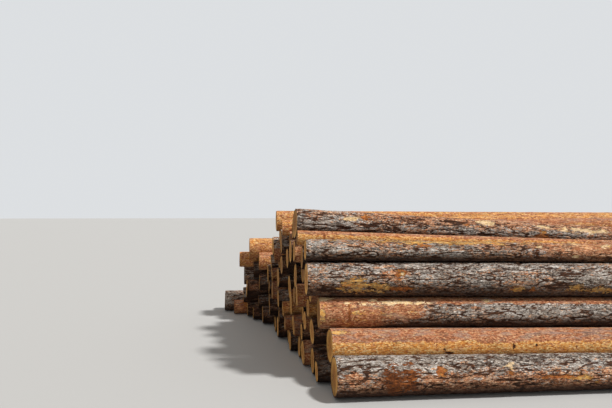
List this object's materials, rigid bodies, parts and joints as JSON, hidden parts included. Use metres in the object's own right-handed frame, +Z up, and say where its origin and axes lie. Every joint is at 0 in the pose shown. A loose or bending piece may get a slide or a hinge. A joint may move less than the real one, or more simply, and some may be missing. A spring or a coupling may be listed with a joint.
{
  "type": "stack of logs",
  "caption": "Stack of pine sawlogs in their bark, laid in layers with a steep front face and a sloping back, sawn ends staggered.",
  "frame": {"origin": "on the ground under the middle of the stack's bounding box", "axes": "+X along the logs, +Y from the steep front face to the sloping back, +Z up"},
  "size_m": [6.1998, 4.2738, 1.6714],
  "materials": {
    "grey_bark": "matte",
    "orange_bark": "matte",
    "mixed_bark": "matte",
    "sawn_wood": "matte"
  },
  "bodies": {
    "root": {"front_log_1": "grey_bark", "front_log_2": "orange_bark", "front_log_3": "grey_bark", "front_log_4": "grey_bark", "front_log_5": "grey_bark", "front_log_6": "orange_bark", "ground_log_10": "mixed_bark", "ground_log_11": "grey_bark", "ground_log_12": "mixed_bark", "ground_log_13": "grey_bark", "ground_log_14": "mixed_bark", "ground_log_15": "grey_bark", "ground_log_2": "mixed_bark", "ground_log_3": "grey_bark", "ground_log_4": "mixed_bark", "ground_log_5": "grey_bark", "ground_log_6": "mixed_bark", "ground_log_7": "grey_bark", "ground_log_8": "mixed_bark", "ground_log_9": "grey_bark", "inner_logs_layer_1": "mixed_bark", "inner_logs_layer_2": "mixed_bark", "inner_logs_layer_3": "mixed_bark", "layer_4_log_1": "orange_bark", "layer_4_log_2": "grey_bark", "layer_4_log_3": "orange_bark", "layer_4_log_4": "grey_bark", "layer_4_log_5": "orange_bark", "layer_4_log_6": "grey_bark", "layer_4_log_7": "orange_bark", "layer_5_log_1": "orange_bark", "layer_5_log_2": "grey_bark", "layer_6_log_1": "orange_bark", "layer_6_log_2": "grey_bark", "layer_6_log_3": "orange_bark", "layer_6_log_4": "grey_bark", "propping_log_1": "grey_bark", "propping_log_2": "orange_bark", "propping_log_3": "grey_bark", "propping_log_4": "orange_bark", "propping_log_5": "grey_bark", "propping_log_6": "grey_bark", "top_log_1": "grey_bark"}
  },
  "joints": []
}
